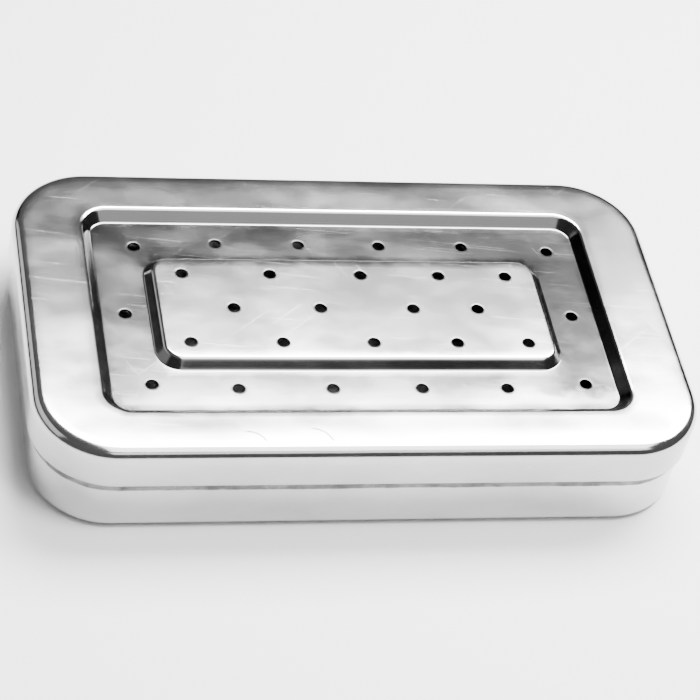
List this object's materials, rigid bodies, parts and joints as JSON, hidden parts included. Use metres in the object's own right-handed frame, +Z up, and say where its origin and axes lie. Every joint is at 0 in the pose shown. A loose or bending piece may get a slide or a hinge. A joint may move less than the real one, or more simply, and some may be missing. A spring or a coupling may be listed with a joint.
{
  "type": "dental instrument cassette",
  "caption": "Shallow rounded steel instrument box with a lift-off lid, pressed in two steps around a raised panel and perforated for steam.",
  "frame": {"origin": "middle of the flat underside of the tray", "axes": "+X along the box, +Y to the long side away from the viewer, +Z up, the way the lid lifts"},
  "size_m": [0.18, 0.105, 0.03],
  "materials": {
    "tray_steel": "satin, lightly worn",
    "lid_steel": "satin, lightly worn"
  },
  "bodies": {
    "tray": {"base": "tray_steel"},
    "cover": {"lid": "lid_steel"}
  },
  "joints": [
    {"name": "lid_lift", "type": "slide", "parent": "tray", "child": "cover", "axis": [0, 0, 1], "range_m": [0, 0.045]}
  ]
}
